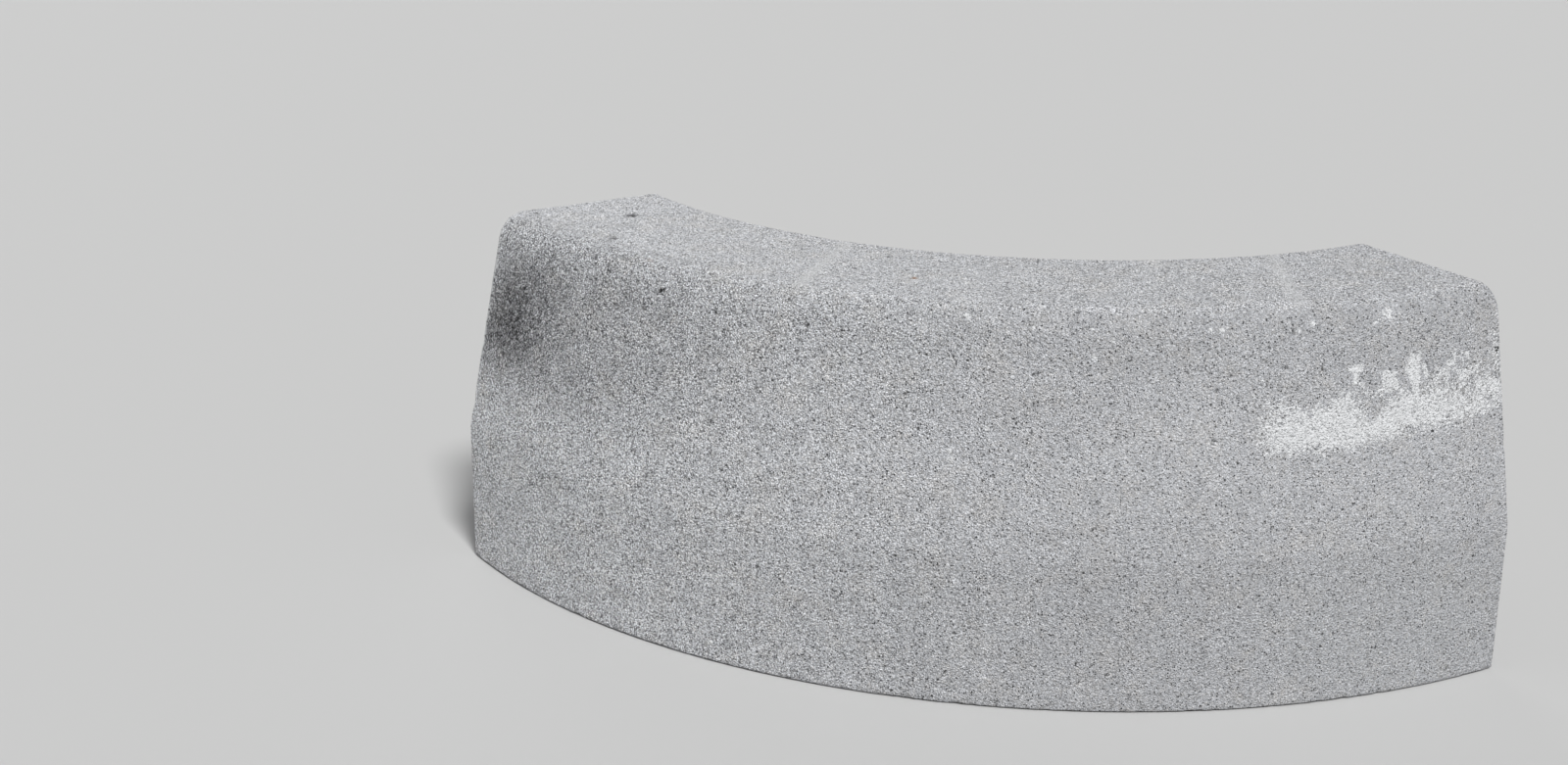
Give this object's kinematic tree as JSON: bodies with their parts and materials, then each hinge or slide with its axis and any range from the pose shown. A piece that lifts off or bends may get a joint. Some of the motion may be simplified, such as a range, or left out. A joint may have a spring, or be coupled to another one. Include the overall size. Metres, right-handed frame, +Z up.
{
  "type": "curved concrete kerb stone",
  "caption": "Quarter-bend concrete road kerb stone with a battered face on its convex side, a rounded nose and a flat crown, for turning a kerb line round an outside corner.",
  "frame": {"origin": "middle of the stone's footprint box, on the bed face that it stands on", "axes": "+Z up from bed to crown, +X along the chord of the bend from the left end to the right end as seen from the road, -Y out of the convex face towards the road; the stone is a mirror image of itself in the YZ plane"},
  "size_m": [0.702, 0.2506, 0.25],
  "materials": {
    "concrete": "matt, fine sandy grain with small pores, as cast in a vibrated mould"
  },
  "bodies": {
    "root": {"kerb_stone": "concrete"}
  },
  "joints": []
}
